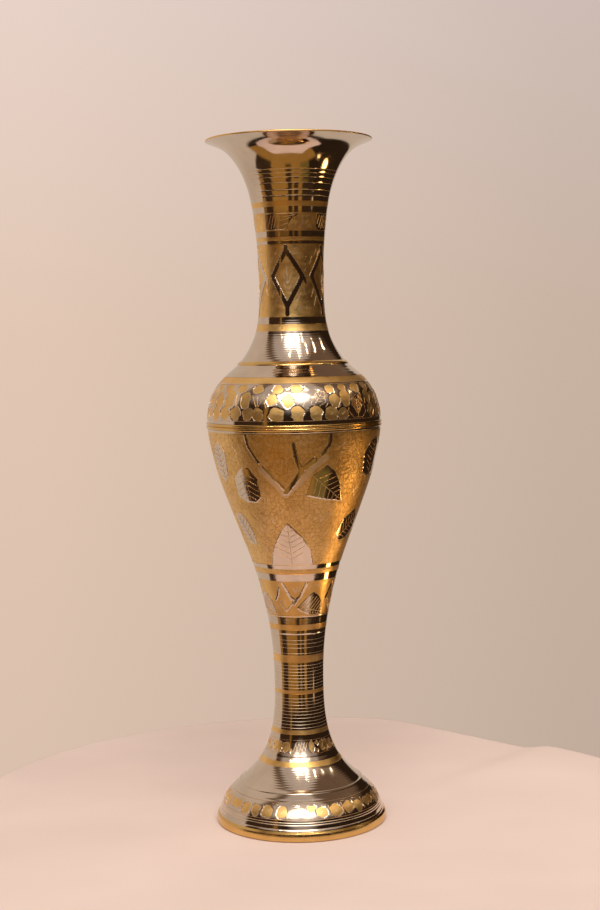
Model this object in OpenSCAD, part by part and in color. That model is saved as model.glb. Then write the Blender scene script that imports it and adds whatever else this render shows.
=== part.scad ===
// Tall trumpet-mouthed brass flower vase, turned in sections and soldered together.
// All sizes in millimetres, +Z up, origin at the centre of the base on the table.

/* [Overall] */
// Total height, base to lip
height = 400; // [398:0.5:404]
// Thickness of the turned wall
wall = 1.6; // [1.4:0.1:1.9]
// Thickness of the wall at the lip
lip_wall = 1.0; // [0.8:0.1:1.4]

/* [Radii] */
// Outer radius of the lip
lip_r = 48.2; // [46:0.1:50]
// Outer radius at the waist of the neck
neck_r = 19; // [18:0.1:20]
// Outer radius at the belly
belly_r = 51; // [50:0.1:52]
// Outer radius at the waist of the stem
stem_r = 14.6; // [14:0.1:15.5]
// Outer radius of the base ring at its widest
base_r = 50.3; // [49.8:0.1:51]

/* [Sections] */
// Height of the base ring
base_h = 5.5; // [5:0.1:6]
// Seam between foot and stem
foot_top = 51.5; // [50:0.5:53]
// Seam between stem and taper
stem_top = 98; // [97:0.5:99]
// Seam between taper and bowl
taper_top = 151; // [150.5:0.5:152]
// Seam between bowl and shoulder, at the belly
bowl_top = 235.5; // [235:0.1:236]
// Seam between shoulder and neck
shoulder_top = 270.5; // [270:0.1:271]
// Seam between neck and mouth
neck_top = 361.7; // [361:0.1:362]

/* [Joints] */
// Depth of each spigot in its socket
spigot_depth = 6; // [4:0.5:7]
// Wall of a spigot
spigot_wall = 1.4; // [1.2:0.1:1.6]
// Wall of a socket
socket_wall = 1.1; // [0.9:0.1:1.2]
// Gap for solder around a spigot
solder_gap = 0.05; // [0.03:0.01:0.1]

/* [Trim] */
// How deep the turned bands are cut through the plating
band_depth = 0.25; // [0.1:0.05:0.4]
// How far the belly ring stands out
belly_ring_proud = 0.5; // [0.3:0.1:0.8]
// How far the neck collar stands out
collar_proud = 0.6; // [0.4:0.1:0.8]

/* [Hidden] */
$fn = 96;

// Steps in which each stretch of the outline is drawn.
STEPS = 8;
FOOT_Z = base_h;
LIP_LEAN = 70;
LIP_Z = height - lip_wall * sin(LIP_LEAN);

// Outline from foot to lip: [height, radius, lean], the lean in degrees outward going up.
STATIONS = [
    [FOOT_Z, base_r - 1.5, -20],
    [14, 45.4, -29],
    [24, 36.1, -50],
    [36, 24.5, -33],
    [foot_top, 17.5, -14.5],
    [80, stem_r, 0],
    [104, 15.5, 5],
    [132, 20, 13],
    [160, 28.3, 20.5],
    [190, 39.6, 20],
    [212, 46.8, 13],
    [bowl_top, belly_r, 2],
    [252, 48.2, -21],
    [266, 37.3, -51],
    [272, 30.7, -40],
    [284, 23.3, -24],
    [300, 19.6, -5],
    [316, neck_r, 0],
    [348, 20.5, 6],
    [372, 24.6, 16.5],
    [392, 35.4, 43],
    [LIP_Z, lip_r, LIP_LEAN]
];

// Turned bands on each section, as [lower, upper] heights.
FOOT_BANDS = [[36, 38.9], [9, 11]];
STEM_BANDS = [[53.6, 56.2], [77.2, 79.3]];
STEM_TOP_BAND = [[95.9, 100.3]];
TAPER_BANDS = [[115.4, 118.7]];
TAPER_TOP_BAND = [[149.5, 152.6]];
SHOULDER_BANDS = [[260.3, 263.6]];
NECK_BANDS = [[289.5, 293.5], [340.9, 343.1]];
NECK_TOP_BAND = [[360.2, 363.2]];

// Tones of the metal.
PLATE = [0.72, 0.68, 0.62];
GOLD = [0.80, 0.62, 0.28];
SOLDER = [0.62, 0.62, 0.60];

BELLY_RING = [233.6, 237.4];
COLLAR = [269.6, 272.4];
FOOT_RIDGE = 24;
BASE_INNER_R = 43;
UPSTAND_H = 4.5;
DISC_H = 1.5;
WEB_H = 1.4;
FILLET = 0.7;
FILLET_GAP = 0.03;

// One Hermite stretch between stations a and b, at t from 0 to 1.
function chord(a, b) = norm([b[1] - a[1], b[0] - a[0]]);
function heading(s) = [sin(s[2]), cos(s[2])];
function hermite(a, b, t) =
    (2 * pow(t, 3) - 3 * pow(t, 2) + 1) * [a[1], a[0]]
    + (pow(t, 3) - 2 * pow(t, 2) + t) * chord(a, b) * heading(a)
    + (3 * pow(t, 2) - 2 * pow(t, 3)) * [b[1], b[0]]
    + (pow(t, 3) - pow(t, 2)) * chord(a, b) * heading(b);

// The whole outline as [radius, height] points, and its inner side.
LAST = len(STATIONS) - 1;
OUTLINE = [
    for (i = [0 : LAST - 1], k = [0 : STEPS - 1]) hermite(STATIONS[i], STATIONS[i + 1], k / STEPS),
    hermite(STATIONS[LAST - 1], STATIONS[LAST], 1)
];
COUNT = len(OUTLINE);
OUTER_BY_Z = [for (p = OUTLINE) [p[1], p[0]]];
function outer_r(z) = lookup(z, OUTER_BY_Z);
function thickness(z) = z < neck_top ? wall : wall + (lip_wall - wall) * (z - neck_top) / (height - neck_top);
function turn_left(v) = [-v[1], v[0]] / norm(v);
function inward(i) = turn_left(OUTLINE[min(i + 1, COUNT - 1)] - OUTLINE[max(i - 1, 0)]);
INLINE = [for (i = [0 : COUNT - 1]) OUTLINE[i] + thickness(OUTLINE[i][1]) * inward(i)];
INNER_BY_Z = [for (p = INLINE) [p[1], p[0]]];
function inner_r(z) = lookup(z, INNER_BY_Z);

// The points of a line strictly between two heights, with its ends added.
function cut(line, by_z, z0, z1) = concat(
    [[lookup(z0, by_z), z0]],
    [for (p = line) if (p[1] > z0 + 0.05 && p[1] < z1 - 0.05) p],
    [[lookup(z1, by_z), z1]]
);
function reversed(list) = [for (i = [len(list) - 1 : -1 : 0]) list[i]];

// Radius of the socket below seam z: it clears the outline on both sides.
function socket_r(z) = min(outer_r(z), outer_r(z - spigot_depth)) - socket_wall;

module tube(r_in, r_out, z0, z1) {
    rotate_extrude()
        translate([r_in, z0])
            square([r_out - r_in, z1 - z0]);
}

// Wall of the vase between two heights.
module shell(z0, z1) {
    rotate_extrude()
        polygon(concat(cut(OUTLINE, OUTER_BY_Z, z0, z1), reversed(cut(INLINE, INNER_BY_Z, z0, z1))));
}

// A shallow strip around the outline, for cutting a turned band.
module band_cut(band) {
    outer = cut(OUTLINE, OUTER_BY_Z, band[0], band[1]);
    rotate_extrude()
        polygon(concat(
            [for (p = outer) [p[0] - band_depth, p[1]]],
            reversed([for (p = outer) [p[0] + 1, p[1]]])
        ));
}

// Tube below the seam that takes the spigot of the section above.
module socket(z) {
    tube(socket_r(z), socket_r(z) + socket_wall, z - spigot_depth, z);
}

// Tube above the seam that drops into the socket, with the web that joins it to its wall.
module spigot(z) {
    r = socket_r(z) - solder_gap;
    web_r = min(outer_r(z), outer_r(z + WEB_H)) - 0.4;
    tube(r - spigot_wall, r, z - spigot_depth, z + WEB_H);
    tube(r - spigot_wall, web_r, z, z + WEB_H);
}

// A turned section between two seams.
module section(z0, z1, bands, with_spigot = true, with_socket = true) {
    difference() {
        union() {
            shell(z0, z1);
            if (with_socket)
                socket(z1);
            if (with_spigot)
                spigot(z0);
        }
        if (with_socket)
            translate([0, 0, z1 - spigot_depth])
                cylinder(r = socket_r(z1), h = spigot_depth + 1);
        for (band = bands)
            band_cut(band);
    }
}

// Heavy unplated ring that the vase stands on, with an upstand inside the foot.
module base_ring() {
    top_r = outer_r(base_h);
    upstand_r = inner_r(base_h + UPSTAND_H) - solder_gap;
    color(GOLD)
        rotate_extrude()
            polygon([
                [BASE_INNER_R, 0],
                [base_r - 0.8, 0],
                [base_r - 0.2, 0.6],
                [base_r, 1.6],
                [base_r - 0.1, 2.8],
                [base_r - 0.7, 4.2],
                [top_r, base_h],
                [upstand_r, base_h],
                [upstand_r, base_h + UPSTAND_H],
                [upstand_r - 1.6, base_h + UPSTAND_H],
                [BASE_INNER_R, 3]
            ]);
}

// Bell-shaped hollow foot with a turned ridge half way up.
module foot() {
    color(PLATE)
        union() {
            section(base_h, foot_top, FOOT_BANDS, with_spigot = false);
            translate([0, 0, FOOT_RIDGE])
                rotate_extrude()
                    translate([outer_r(FOOT_RIDGE) - 0.1, 0])
                        circle(r = 0.6, $fn = 24);
        }
}

// Slim hollow stem.
module stem() {
    color(PLATE)
        section(foot_top, stem_top, concat(STEM_BANDS, STEM_TOP_BAND));
}

// Watertight floor, soldered in on the ledge at the foot of the taper.
module floor_disc() {
    z = stem_top + WEB_H;
    color(GOLD)
        translate([0, 0, z])
            cylinder(r = inner_r(z) - 0.1, h = DISC_H);
}

// Narrow lower part of the body, below the carved bowl.
module taper() {
    color(PLATE)
        section(stem_top, taper_top, concat(TAPER_BANDS, STEM_TOP_BAND, TAPER_TOP_BAND));
}

// Carved lower half of the body.
module bowl() {
    color(GOLD)
        difference() {
            section(taper_top, bowl_top, TAPER_TOP_BAND);
            ring_seat();
        }
}

// Seat of the belly ring, turned half in the bowl and half in the shoulder.
module ring_seat() {
    tube(belly_r - 0.6, belly_r + 1, BELLY_RING[0], BELLY_RING[1]);
}

// Raised double-line ring over the belly seam.
module belly_ring() {
    middle = (BELLY_RING[0] + BELLY_RING[1]) / 2;
    out_r = belly_r + belly_ring_proud;
    color(GOLD)
        rotate_extrude()
            polygon([
                [belly_r - 0.6, BELLY_RING[0]],
                [out_r - 0.3, BELLY_RING[0]],
                [out_r, BELLY_RING[0] + 0.4],
                [out_r, middle - 0.4],
                [out_r - 0.3, middle],
                [out_r, middle + 0.4],
                [out_r, BELLY_RING[1] - 0.4],
                [out_r - 0.3, BELLY_RING[1]],
                [belly_r - 0.6, BELLY_RING[1]]
            ]);
}

// Upper half of the body.
module shoulder() {
    color(PLATE)
        difference() {
            section(bowl_top, shoulder_top, SHOULDER_BANDS);
            ring_seat();
        }
}

// Half-round collar over the seam between shoulder and neck.
module neck_collar() {
    color(GOLD)
        difference() {
            translate([0, 0, COLLAR[0]])
                cylinder(
                    r1 = outer_r(COLLAR[0]) + collar_proud,
                    r2 = outer_r(COLLAR[1]) + collar_proud,
                    h = COLLAR[1] - COLLAR[0]
                );
            rotate_extrude()
                polygon(concat(
                    [[0, COLLAR[0] - 1]],
                    cut(OUTLINE, OUTER_BY_Z, COLLAR[0] - 1, COLLAR[1] + 1),
                    [[0, COLLAR[1] + 1]]
                ));
        }
}

// Slim carved neck.
module neck() {
    color(PLATE)
        section(shoulder_top, neck_top, concat(NECK_BANDS, NECK_TOP_BAND));
}

// Trumpet mouth, thinned towards a rounded lip.
module mouth() {
    color(PLATE)
        union() {
            section(neck_top, LIP_Z, NECK_TOP_BAND, with_socket = false);
            lip();
        }
}

// The lip closes the wall between its outer and inner edges.
module lip() {
    outer = OUTLINE[COUNT - 1];
    inner = INLINE[COUNT - 1];
    low = cut(INLINE, INNER_BY_Z, LIP_Z - 0.6, LIP_Z);
    rotate_extrude()
        polygon(concat(
            [[low[0][0] + 0.3, low[0][1]]],
            low,
            [inner, (inner + outer) / 2 + [0.25, 0.12], outer]
        ));
}

// Small fillets of solder inside each spigot joint, as one group.
module solder_fillets() {
    color(SOLDER)
        for (z = [foot_top, stem_top, taper_top, bowl_top, shoulder_top, neck_top])
            solder_fillet(z);
}

module solder_fillet(z) {
    r = socket_r(z);
    top = z - spigot_depth;
    wall_top = min(r + socket_wall, inner_r(top) - FILLET_GAP);
    wall_low = min(r, inner_r(top - FILLET) - FILLET_GAP);
    rotate_extrude()
        polygon([
            [r - solder_gap - spigot_wall, top],
            [wall_top, top],
            [wall_low, top - FILLET]
        ]);
}

base_ring();
foot();
stem();
floor_disc();
taper();
bowl();
belly_ring();
shoulder();
neck_collar();
neck();
mouth();
solder_fillets();
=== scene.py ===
import math

import bpy
import numpy as np
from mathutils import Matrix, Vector

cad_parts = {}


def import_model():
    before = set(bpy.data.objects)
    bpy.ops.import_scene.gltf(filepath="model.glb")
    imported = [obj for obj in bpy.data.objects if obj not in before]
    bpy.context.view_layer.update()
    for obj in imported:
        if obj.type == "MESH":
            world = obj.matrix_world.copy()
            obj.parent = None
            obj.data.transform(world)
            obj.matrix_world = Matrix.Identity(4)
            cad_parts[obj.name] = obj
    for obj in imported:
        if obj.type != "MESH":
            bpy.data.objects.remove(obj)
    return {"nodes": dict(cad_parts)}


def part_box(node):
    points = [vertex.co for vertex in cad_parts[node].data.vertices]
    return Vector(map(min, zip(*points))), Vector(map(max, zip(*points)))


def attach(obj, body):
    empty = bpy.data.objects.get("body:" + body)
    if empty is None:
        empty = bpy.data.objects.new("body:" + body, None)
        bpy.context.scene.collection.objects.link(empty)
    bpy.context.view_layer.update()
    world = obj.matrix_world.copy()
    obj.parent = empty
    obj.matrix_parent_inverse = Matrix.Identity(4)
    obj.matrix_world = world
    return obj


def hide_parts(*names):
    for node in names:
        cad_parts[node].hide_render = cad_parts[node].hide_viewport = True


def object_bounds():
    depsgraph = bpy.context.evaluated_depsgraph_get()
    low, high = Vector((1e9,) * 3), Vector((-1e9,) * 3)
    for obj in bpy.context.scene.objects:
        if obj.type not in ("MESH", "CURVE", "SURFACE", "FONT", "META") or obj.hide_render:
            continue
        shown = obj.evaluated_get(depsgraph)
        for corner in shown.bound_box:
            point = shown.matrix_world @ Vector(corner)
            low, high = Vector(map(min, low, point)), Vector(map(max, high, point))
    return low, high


# A tall engraved brass vase. Each turned section is one closed mesh: its outer skin has real
# turned lines and relief carving, its inner skin the spigot and socket of its CAD part.
# Lengths are in millimetres until a mesh is made. Angles run round the vase, 0 at the front.

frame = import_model()
cad_box = [list(corner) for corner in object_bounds()]
MM = 0.001


def top_of(node):
    """A CAD part's top, in millimetres."""
    return round(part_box(node)[1][2] / MM, 2)


# ---------------- outline

BASE_H = 5.5
FOOT_TOP = top_of("foot")
STEM_TOP = top_of("stem")
TAPER_TOP = top_of("taper")
BOWL_TOP = top_of("bowl")
SHOULDER_TOP = top_of("shoulder")
NECK_TOP = top_of("neck")
HEIGHT = top_of("mouth")
# The belly ring is the widest thing. It stands proud of the belly, and the base is narrower.
WIDEST_R = (cad_box[1][0] - cad_box[0][0]) / 2 / MM
RING_PROUD = 0.5
BASE_R = WIDEST_R - 1.2
BELLY_R = WIDEST_R - RING_PROUD
WALL = 1.6
LIP_WALL = 1.0
LIP_R = 48.2
LIP_LEAN = 70
# The lip is rounded a little beyond the outline, and sunk to stay inside the CAD box.
LIP_ROUND = 0.3
LIP_SINK = 0.02
LIP_ROOM = 0.03
LIP_Z = HEIGHT - LIP_ROOM - LIP_WALL * math.sin(math.radians(LIP_LEAN))
SPIGOT_DEPTH = 6
SPIGOT_WALL = 1.4
SOCKET_WALL = 1.1
SOLDER_GAP = 0.05
WEB_H = 1.4
# How deep a section's own seat for the belly ring is.
RING_SEAT = 0.6

# The design's outline from foot to lip: height, radius and outward lean in degrees.
STATIONS = [
    (BASE_H, BASE_R - 1.5, -20),
    (14, 45.4, -29),
    (24, 36.1, -50),
    (36, 24.5, -33),
    (FOOT_TOP, 17.5, -14.5),
    (80, 14.6, 0),
    (104, 15.5, 5),
    (132, 20, 13),
    (160, 28.3, 20.5),
    (190, 39.6, 20),
    (212, 46.8, 13),
    (BOWL_TOP, BELLY_R, 2),
    (252, 48.2, -21),
    (266, 37.3, -51),
    (272, 30.7, -40),
    (284, 23.3, -24),
    (300, 19.6, -5),
    (316, 19, 0),
    (348, 20.5, 6),
    (372, 24.6, 16.5),
    (392, 35.4, 43),
    (LIP_Z, LIP_R, LIP_LEAN),
]
# Points of the outline between stations, and how many of them the flare's inside skips.
FINE = 160
FLARE_STEP = 16


def stretch(a, b):
    """Points of the Hermite curve from station a up to station b, as radius and height."""
    t = np.linspace(0, 1, FINE, endpoint=False)[:, None]
    start, end = np.array([a[1], a[0]]), np.array([b[1], b[0]])
    chord = np.hypot(*(end - start))
    lean_a, lean_b = math.radians(a[2]), math.radians(b[2])
    go = chord * np.array([math.sin(lean_a), math.cos(lean_a)])
    arrive = chord * np.array([math.sin(lean_b), math.cos(lean_b)])
    return (
        (2 * t**3 - 3 * t**2 + 1) * start
        + (t**3 - 2 * t**2 + t) * go
        + (3 * t**2 - 2 * t**3) * end
        + (t**3 - t**2) * arrive
    )


OUTLINE = np.vstack(
    [stretch(a, b) for a, b in zip(STATIONS[:-1], STATIONS[1:])] + [[(LIP_R, LIP_Z)]]
)
ALONG = np.concatenate([[0], np.cumsum(np.hypot(*np.diff(OUTLINE, axis=0).T))])
TANGENT = np.gradient(OUTLINE, axis=0)
TANGENT /= np.linalg.norm(TANGENT, axis=1)[:, None]
INWARD = np.stack([-TANGENT[:, 1], TANGENT[:, 0]], axis=1)


def outer_r(z):
    return np.interp(z, OUTLINE[:, 1], OUTLINE[:, 0])


def arc_at(z):
    return np.interp(z, OUTLINE[:, 1], ALONG)


def z_at(arc):
    return np.interp(arc, ALONG, OUTLINE[:, 1])


def thickness(z):
    up = np.clip((z - NECK_TOP) / (HEIGHT - NECK_TOP), 0, 1)
    return WALL + (LIP_WALL - WALL) * up


INLINE = OUTLINE + INWARD * thickness(OUTLINE[:, 1])[:, None]
BY_HEIGHT = np.argsort(INLINE[:, 1])


def inner_r(z):
    return np.interp(z, INLINE[BY_HEIGHT, 1], INLINE[BY_HEIGHT, 0])


def socket_r(z):
    return min(outer_r(z), outer_r(z - SPIGOT_DEPTH)) - SOCKET_WALL


# ---------------- a section's skin

PLATE, GOLD, INSIDE, BRIGHT = 0, 1, 2, 3
BAND_DEPTH = 0.15
CUT_DEPTH = 0.2
STROKE_DEPTH = 0.07
EDGE = 0.06
WELD = 1e-8
SAME = 1e-6
SHARP_ANGLE = 26


class Skin:
    """Collects a section's faces and welds them into one closed mesh."""

    def __init__(self, columns):
        self.theta = np.linspace(0, 2 * math.pi, columns + 1)
        self.faces = []
        self.first = None
        self.last = None

    def add(self, theta, r, z, slot):
        """Faces whose corners are in the last axis of theta, r and z."""
        points = np.stack([r * np.sin(theta), -r * np.cos(theta), z + 0 * r], axis=-1) * MM
        self.faces.append((points, np.broadcast_to(slot, len(points))))

    def ring(self, r, z, slot):
        """Joins the last ring to a new one of radius r, a number or one for each column."""
        now = (np.broadcast_to(np.asarray(r, float), self.theta.shape), float(z))
        if self.first is None:
            self.first = now
        elif np.abs(now[0] - self.last[0]).max() > SAME or abs(now[1] - self.last[1]) > SAME:
            self.join(self.last, now, slot)
        self.last = now

    def join(self, low, high, slot):
        t = self.theta
        theta = np.stack([t[:-1], t[1:], t[1:], t[:-1]], axis=-1)
        r = np.stack([low[0][:-1], low[0][1:], high[0][1:], high[0][:-1]], axis=-1)
        z = np.broadcast_to(np.array([low[1], low[1], high[1], high[1]]), r.shape)
        self.add(theta, r, z, slot)

    def close(self, slot):
        self.join(self.last, self.first, slot)

    def mesh(self, name):
        corners = np.concatenate([p.reshape(-1, 3) for p, _ in self.faces])
        sizes = np.concatenate([np.full(len(p), p.shape[1]) for p, _ in self.faces])
        slots = np.concatenate([s for _, s in self.faces])
        keys = np.round(corners / WELD).astype(np.int64)
        _, keep, index = np.unique(keys, axis=0, return_index=True, return_inverse=True)
        data = bpy.data.meshes.new(name)
        data.vertices.add(len(keep))
        data.vertices.foreach_set("co", corners[keep].ravel())
        data.loops.add(len(corners))
        data.loops.foreach_set("vertex_index", index.ravel().astype(np.int32))
        data.polygons.add(len(sizes))
        starts = np.concatenate([[0], np.cumsum(sizes)[:-1]]).astype(np.int32)
        data.polygons.foreach_set("loop_start", starts)
        data.polygons.foreach_set("material_index", slots.astype(np.int32))
        data.update(calc_edges=True)
        data.validate()
        data.polygons.foreach_set("use_smooth", np.ones(len(data.polygons), bool))
        data.set_sharp_from_angle(angle=math.radians(SHARP_ANGLE))
        return data


# ---------------- turned zones

STEP = 1.1
INNER_STEP = 2.4
LEAST_GAP = 0.02


def samples(z0, z1, step=STEP):
    """Heights from z0 to z1, evenly spaced along the outline."""
    a0, a1 = arc_at(z0), arc_at(z1)
    count = max(2, int(math.ceil((a1 - a0) / step)) + 1)
    return z_at(np.linspace(a0, a1, count))


def band(z0, z1):
    """A flat band cut through the plate."""
    inner = [(z, BAND_DEPTH, GOLD) for z in samples(z0 + EDGE, z1 - EDGE)]
    return z0, z1, [(z0, 0, PLATE)] + inner + [(z1, 0, GOLD)]


def open_band(z0, z1):
    """A band cut right up to a seam, so that it has no edges of its own."""
    return z0, z1, [(z, BAND_DEPTH, GOLD) for z in samples(z0, z1)]


def line(z, width=0.24, depth=0.05, slot=BRIGHT):
    """A hairline, cut as a V."""
    half = width / 2
    return z - half, z + half, [(z - half, 0, PLATE), (z, depth, slot), (z + half, 0, slot)]


def thin(z):
    """A finer hairline, for narrow sections."""
    return line(z, 0.15, 0.04)


def fine(z):
    """A shallow, wide turning mark that stays plated."""
    return line(z, 0.5, 0.05, PLATE)


def bead(z, radius=0.6):
    """A rounded ridge."""
    half = np.linspace(-1, 1, 9)
    points = [(z + radius * h, -radius * math.sqrt(1 - h * h) * 0.9, PLATE) for h in half]
    return z - radius, z + radius, points


def turned(skin, z0, z1, *features):
    """The skin from z0 to z1, plain but for its turned features."""
    z = z0
    for low, high, points in sorted(features, key=lambda f: f[0]):
        if low - z > LEAST_GAP:
            for step in samples(z, low):
                skin.ring(outer_r(step), step, PLATE)
        for step, depth, slot in points:
            skin.ring(outer_r(step) - depth, step, slot)
        z = high
    if z1 - z > LEAST_GAP:
        for step in samples(z, z1):
            skin.ring(outer_r(step), step, PLATE)


# ---------------- carved panels

# A cell's corners are 0 1 2 3, round from the low left. The crossing points on its edges are
# 4 5 6 7, each on the edge after the corner of the same order.
RIM = 0.05
NEAREST = 0.08


def traced(case, wanted):
    """The corner and crossing codes of a cell's part that is inside (or outside), in order."""
    inside = [(case >> k & 1) == wanted for k in range(4)]
    codes = []
    for k in range(4):
        if inside[k]:
            codes.append(k)
        if inside[k] != inside[(k + 1) % 4]:
            codes.append(4 + k)
    return codes


def parts_of(case):
    """Polygons of a cell: those standing as plate, those cut away, and the walls between."""
    if case in (5, 10):
        lone = (1, 3) if case == 5 else (0, 2)
        cut = [[4 + (k - 1) % 4, k, 4 + k] for k in lone]
        plate = [traced(case, 1)]
    else:
        plate = [traced(case, 1)] if case else []
        cut = [traced(case, 0)] if case < 15 else []
    walls = []
    for codes in plate:
        pairs = zip(codes, codes[1:] + codes[:1])
        walls += [(p, q) for p, q in pairs if p > 3 and q > 3]
    return plate, cut, walls


def carve(skin, z0, z1, cell, pattern, relief):
    """A carved panel. pattern gives three fields, each below zero inside its shapes: the plate
    left standing with its veins cut out, the same shapes whole, and strokes scribed into the cut
    ground. relief is how high the ground stands above the cutting depth. The first and last rows
    stay outside every shape, and no crossing comes nearer to a corner than NEAREST of an edge."""
    rows = max(4, int(round((arc_at(z1) - arc_at(z0)) / cell)))
    z = z_at(np.linspace(arc_at(z0), arc_at(z1), rows + 1))
    T, Z = np.meshgrid(skin.theta, z)
    plate, whole, strokes = pattern(T, Z)
    field = np.minimum(plate, strokes)
    ground = outer_r(Z) - CUT_DEPTH + relief(T, Z)
    stands = np.where(whole < 0, outer_r(Z), ground - STROKE_DEPTH)
    for values in (field, ground, stands, whole):
        values[:, -1] = values[:, 0]
    field[0] = np.abs(field[0]) + RIM
    field[-1] = np.abs(field[-1]) + RIM
    inside = field < 0

    def crossing(f0, f1):
        gap = np.where(np.abs(f0 - f1) < 1e-9, 1, f0 - f1)
        return np.clip(f0 / gap, NEAREST, 1 - NEAREST)

    across = crossing(field[:, :-1], field[:, 1:])
    up = crossing(field[:-1], field[1:])

    def spread_over(values):
        """A quantity at the four corners and four crossings of every cell."""
        on_rows = values[:, :-1] + across * (values[:, 1:] - values[:, :-1])
        on_columns = values[:-1] + up * (values[1:] - values[:-1])
        corners = [values[:-1, :-1], values[:-1, 1:], values[1:, 1:], values[1:, :-1]]
        return corners + [on_rows[:-1], on_columns[:, 1:], on_rows[1:], on_columns[:, :-1]]

    cell_t, cell_z, low, high = (spread_over(v) for v in (T, Z, ground, stands))
    case = sum((c.astype(int) << k) for k, c in enumerate(spread_over(inside.astype(float))[:4]))
    is_plate = (whole[:-1, :-1] + whole[1:, 1:]) < 0
    skin.ring(ground[0], z[0], GOLD)
    for k in range(16):
        at = case == k
        if not at.any():
            continue
        values = (cell_t, cell_z, low, high)
        t, h, bottom, top = (np.stack([c[at] for c in v], axis=-1) for v in values)
        on_plate = is_plate[at]
        plates, cuts, walls = parts_of(k)
        for codes in plates:
            skin.add(t[:, codes], top[:, codes], h[:, codes], np.where(on_plate, PLATE, BRIGHT))
        for codes in cuts:
            skin.add(t[:, codes], bottom[:, codes], h[:, codes], np.where(on_plate, BRIGHT, GOLD))
        for p, q in walls:
            codes = [p, p, q, q]
            r = np.stack([top[:, p], bottom[:, p], bottom[:, q], top[:, q]], axis=-1)
            skin.add(t[:, codes], r, h[:, codes], np.where(on_plate, GOLD, BRIGHT))
    skin.last = (ground[-1], float(z[-1]))


# ---------------- shapes for carving

# Half the width of a vein or stroke, and of the finer ones.
VEIN = 0.26
FINE_VEIN = 0.2


def near(T, Z, angle, z):
    """Millimetres right of and above a point on the vase."""
    turn = (T - math.radians(angle) + math.pi) % (2 * math.pi) - math.pi
    return turn * outer_r(Z), arc_at(Z) - arc_at(z)


def flat(path, angle, z):
    """A path's points as millimetres right of and above a point on the vase. A path's numbers
    are angle, height, angle, height and so on."""
    points = zip(path[::2], path[1::2])
    return [(math.radians(a - angle) * outer_r(h), arc_at(h) - arc_at(z)) for a, h in points]


def between(u, v, start, end):
    """Distance from points to the line from start to end."""
    ax, ay = start
    dx, dy = end[0] - ax, end[1] - ay
    t = np.clip(((u - ax) * dx + (v - ay) * dy) / (dx * dx + dy * dy), 0, 1)
    return np.hypot(u - ax - t * dx, v - ay - t * dy)


def union(*shapes):
    return np.minimum.reduce(shapes)


def disc(T, Z, angle, z, radius, tall=1.0):
    u, v = near(T, Z, angle, z)
    return (np.hypot(u, v / tall) - radius) * min(tall, 1)


def uneven(T, Z, turn=0.009, rise=0.32):
    """The same place nudged a little in waves, so that round marks come out irregular."""
    return T + turn * np.sin(31 * T + 0.9 * Z), Z + rise * np.sin(27 * T - 1.1 * Z)


def strip(T, Z, path, half):
    """A strip along a path, half its width to each side."""
    u, v = near(T, Z, *path[:2])
    path = flat(path, *path[:2])
    return union(*[between(u, v, a, b) for a, b in zip(path[:-1], path[1:])]) - half


def scribed(T, Z, *paths, half=VEIN):
    """Thin strokes, each along a path."""
    return union(*[strip(T, Z, path, half) for path in paths])


def stems(T, Z, *paths):
    """Thicker strips, each its half width and then its path."""
    return union(*[strip(T, Z, path, half) for half, *path in paths])


def patch(T, Z, corners, soft=0.5):
    """A shape with its corners along a path, rounded a little."""
    u, v = near(T, Z, *corners[:2])
    path = flat(corners, *corners[:2])
    far = np.full(T.shape, 1e3)
    inside = np.zeros(T.shape, bool)
    for (ax, ay), (bx, by) in zip(path, path[1:] + path[:1]):
        far = np.minimum(far, between(u, v, (ax, ay), (bx, by)))
        if ay != by:
            spans = (ay > v) != (by > v)
            inside ^= spans & (u < (bx - ax) * (v - ay) / (by - ay) + ax)
    return np.where(inside, -far, far) - soft


# How far a side vein starts from the midrib.
RIB_GAP = 0.7


def ribs(stem, tip, count, reach, lean=0.55):
    """A midrib from stem to tip with pairs of side veins, as paths for strokes. The side veins
    are longest halfway along and lean towards the tip."""
    (a0, z0), (a1, z1) = stem, tip
    radius = outer_r((z0 + z1) / 2)
    du, dv = math.radians(a1 - a0) * radius, arc_at(z1) - arc_at(z0)
    length = math.hypot(du, dv)
    fu, fv = du / length, dv / length

    def place(u, v):
        return a0 + math.degrees(u / radius), z_at(arc_at(z0) + v)

    paths = [(*stem, *tip)]
    for k in range(1, count + 1):
        along = length * k / (count + 1)
        far = reach * math.sin(math.pi * (0.15 + 0.7 * k / (count + 1)))
        for side in (1, -1):
            u, v = fu * along - side * fv * RIB_GAP, fv * along + side * fu * RIB_GAP
            out_u, out_v = fu * lean - side * fv, fv * lean + side * fu
            paths.append((*place(u, v), *place(u + far * out_u, v + far * out_v)))
    return paths


def repeated(T, count, middle):
    """The same angle folded into the period round middle, in radians."""
    period = 2 * math.pi / count
    m = math.radians(middle)
    return (T - m + period / 2) % period - period / 2 + m


# ---------------- the carved panels

# Height along the outline measured in local radii, so that round marks stay round.
ROUNDED_HEIGHT = np.concatenate(
    [[0], np.cumsum(np.diff(ALONG) * 2 / (OUTLINE[1:, 0] + OUTLINE[:-1, 0]))]
)
HAMMER_DEPTH = 0.018
SCALE_COUNT, SCALE_H = 54, 0.2
# In scale widths: from row to row, and a scale's own half width and length.
SCALE_ROW, SCALE_HALF, SCALE_LONG = 0.6, 0.62, 1.02


def rounded(Z):
    return np.interp(Z, OUTLINE[:, 1], ROUNDED_HEIGHT)


def hammered(T, Z):
    """Shallow, uneven graver work over the cut ground."""
    level = rounded(Z)
    slow, quick = 61 * T + 9 * np.sin(37 * level), 83 * level + 5 * np.sin(23 * T)
    return HAMMER_DEPTH * np.sin(slow) * np.sin(quick)


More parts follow.
